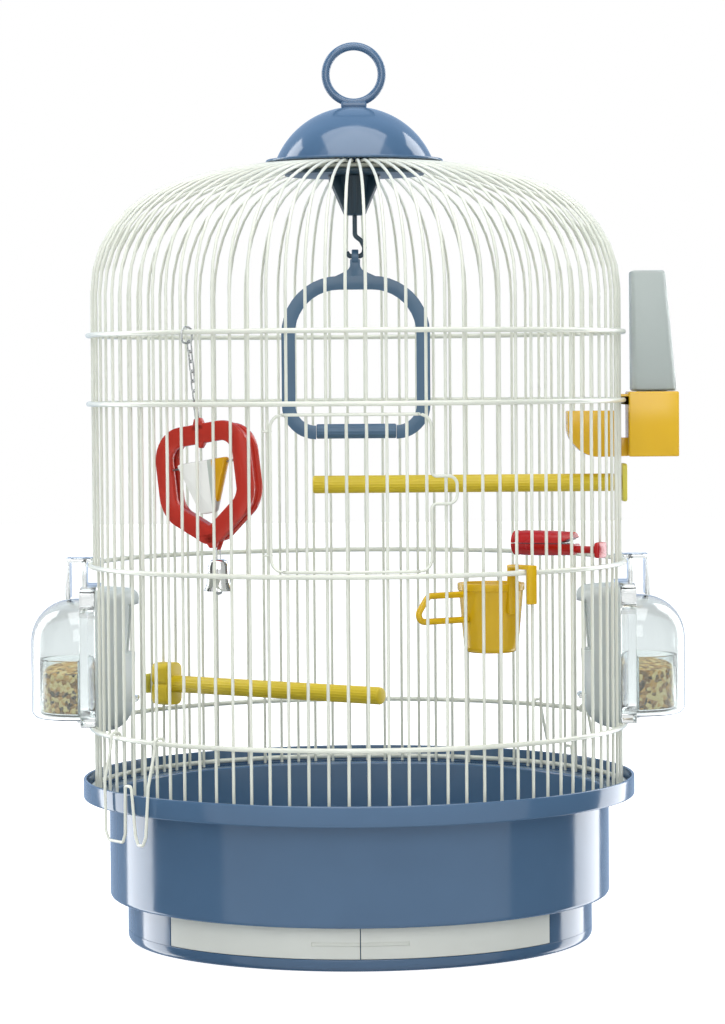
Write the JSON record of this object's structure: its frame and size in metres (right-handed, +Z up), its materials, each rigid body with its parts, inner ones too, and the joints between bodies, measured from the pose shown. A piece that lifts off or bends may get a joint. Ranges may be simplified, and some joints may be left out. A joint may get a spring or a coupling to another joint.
{
  "type": "bird cage",
  "caption": "Round wire bird cage on a plastic tray with drawers, with a domed cap, carry ring, door, swing, perches, feeders, drinker and a hanging toy.",
  "frame": {"origin": "centre of the underside of the tray", "axes": "+Z up, -Y towards the front door and the drawer fronts, +X to the right seen from the front"},
  "size_m": [0.386, 0.325, 0.5257],
  "materials": {
    "tray_blue": "gloss",
    "drawer_grey": "satin",
    "wire_white": "gloss",
    "petrol": "gloss",
    "swing_blue": "gloss",
    "perch_yellow": "satin",
    "clear": "clear",
    "hood_grey": "satin",
    "gloss_yellow": "gloss",
    "seed": "matte",
    "chain_steel": "polished",
    "heart_red": "gloss",
    "treat_red": "gloss",
    "tumbler_white": "gloss"
  },
  "bodies": {
    "base": {"base_tray": "tray_blue"},
    "cage": {"bars_front": "wire_white", "bars_right": "wire_white", "bars_back": "wire_white", "bars_left": "wire_white", "ring_1": "wire_white", "ring_2": "wire_white", "ring_3": "wire_white", "ring_4": "wire_white", "ring_5": "wire_white", "top_ring": "wire_white", "cap_dome": "tray_blue", "clamp_disc": "petrol", "carry_ring": "tray_blue", "cone_nut": "petrol", "swing_hook": "petrol", "upper_perch": "perch_yellow", "upper_perch_plate": "perch_yellow", "lower_perch": "perch_yellow", "lower_perch_plate": "perch_yellow", "feeder_covers": "clear", "feeder_hoods": "hood_grey", "feeder_frames": "clear", "drinker_body": "gloss_yellow", "treat_holder": "treat_red", "treat_spring": "chain_steel"},
    "drawer_left": {"drawer_left": "drawer_grey"},
    "drawer_right": {"drawer_right": "drawer_grey"},
    "door": {"door_frame": "wire_white", "door_bars": "wire_white"},
    "clip_left": {"clip_left": "wire_white"},
    "clip_right": {"clip_right": "wire_white"},
    "swing": {"swing_frame": "swing_blue", "swing_perch": "swing_blue"},
    "toy": {"toy_chain": "chain_steel", "toy_heart": "heart_red", "toy_axle": "chain_steel"},
    "tumbler": {"toy_tumbler": "tumbler_white"},
    "bell": {"toy_bell": "chain_steel"},
    "clapper": {"bell_clapper": "chain_steel"},
    "feeder_cup_left": {"feeder_cup_left": "clear", "seed_left": "seed"},
    "feeder_cup_right": {"feeder_cup_right": "clear", "seed_right": "seed"},
    "bottle": {"drinker_bottle": "clear"},
    "egg_cup": {"egg_cup": "gloss_yellow"},
    "treat_jaw": {"treat_jaw": "treat_red"}
  },
  "joints": [
    {"name": "cage_lift", "type": "slide", "parent": "base", "child": "cage", "axis": [0, 0, 1], "range_m": [0, 0.12]},
    {"name": "drawer_left_slide", "type": "slide", "parent": "base", "child": "drawer_left", "axis": [0, -1, 0], "range_m": [0, 0.15]},
    {"name": "drawer_right_slide", "type": "slide", "parent": "base", "child": "drawer_right", "axis": [0, -1, 0], "range_m": [0, 0.15]},
    {"name": "door_hinge", "type": "hinge", "parent": "cage", "child": "door", "pos_m": [-0.04889, -0.14688, 0.266], "axis": [0, 0, -1], "range_deg": [0, 110]},
    {"name": "clip_left_hinge", "type": "hinge", "parent": "cage", "child": "clip_left", "pos_m": [-0.125, -0.09358, 0.1252], "axis": [-0.5993, 0.8005, 0], "range_deg": [0, 50]},
    {"name": "clip_right_hinge", "type": "hinge", "parent": "cage", "child": "clip_right", "pos_m": [0.125, 0.09358, 0.1252], "axis": [0.5993, -0.8005, 0], "range_deg": [0, 50]},
    {"name": "swing_hinge", "type": "hinge", "parent": "cage", "child": "swing", "pos_m": [0, 0, 0.40061], "axis": [1, 0, 0], "range_deg": [-25, 25]},
    {"name": "toy_hinge", "type": "hinge", "parent": "cage", "child": "toy", "pos_m": [-0.09454, -0.12629, 0.355], "axis": [0.8005, -0.5993, 0], "range_deg": [0, 15]},
    {"name": "tumbler_axle", "type": "hinge", "parent": "toy", "child": "tumbler", "pos_m": [-0.08495, -0.11928, 0.28126], "axis": [0.7928, -0.5934, 0.1392], "range_deg": [-8, 45]},
    {"name": "bell_eye", "type": "hinge", "parent": "toy", "child": "bell", "pos_m": [-0.07719, -0.11965, 0.23552], "axis": [-0.5993, -0.8005, 0], "range_deg": [-20, 20]},
    {"name": "clapper_pin", "type": "hinge", "parent": "bell", "child": "clapper", "pos_m": [-0.07719, -0.11965, 0.22414], "axis": [0.8005, -0.5993, 0], "range_deg": [-12, 12]},
    {"name": "feeder_cup_left_turn", "type": "hinge", "parent": "cage", "child": "feeder_cup_left", "pos_m": [-0.1622, 0, 0.1318], "axis": [0, 0, 1], "range_deg": [0, 180]},
    {"name": "feeder_cup_right_turn", "type": "hinge", "parent": "cage", "child": "feeder_cup_right", "pos_m": [0.1622, 0, 0.1318], "axis": [0, 0, 1], "range_deg": [0, 180]},
    {"name": "bottle_lift", "type": "slide", "parent": "cage", "child": "bottle", "axis": [0, 0, 1], "range_m": [0, 0.03]},
    {"name": "egg_cup_lift", "type": "slide", "parent": "cage", "child": "egg_cup", "axis": [0, 0, 1], "range_m": [0, 0.025]},
    {"name": "treat_jaw_hinge", "type": "hinge", "parent": "cage", "child": "treat_jaw", "pos_m": [0.11673, -0.06374, 0.2358], "axis": [0.4792, 0.8777, 0], "range_deg": [0, 18], "stiffness_Nm_per_rad": 0.05, "springref_deg": -17.19, "deforming": ["treat_spring"]}
  ]
}
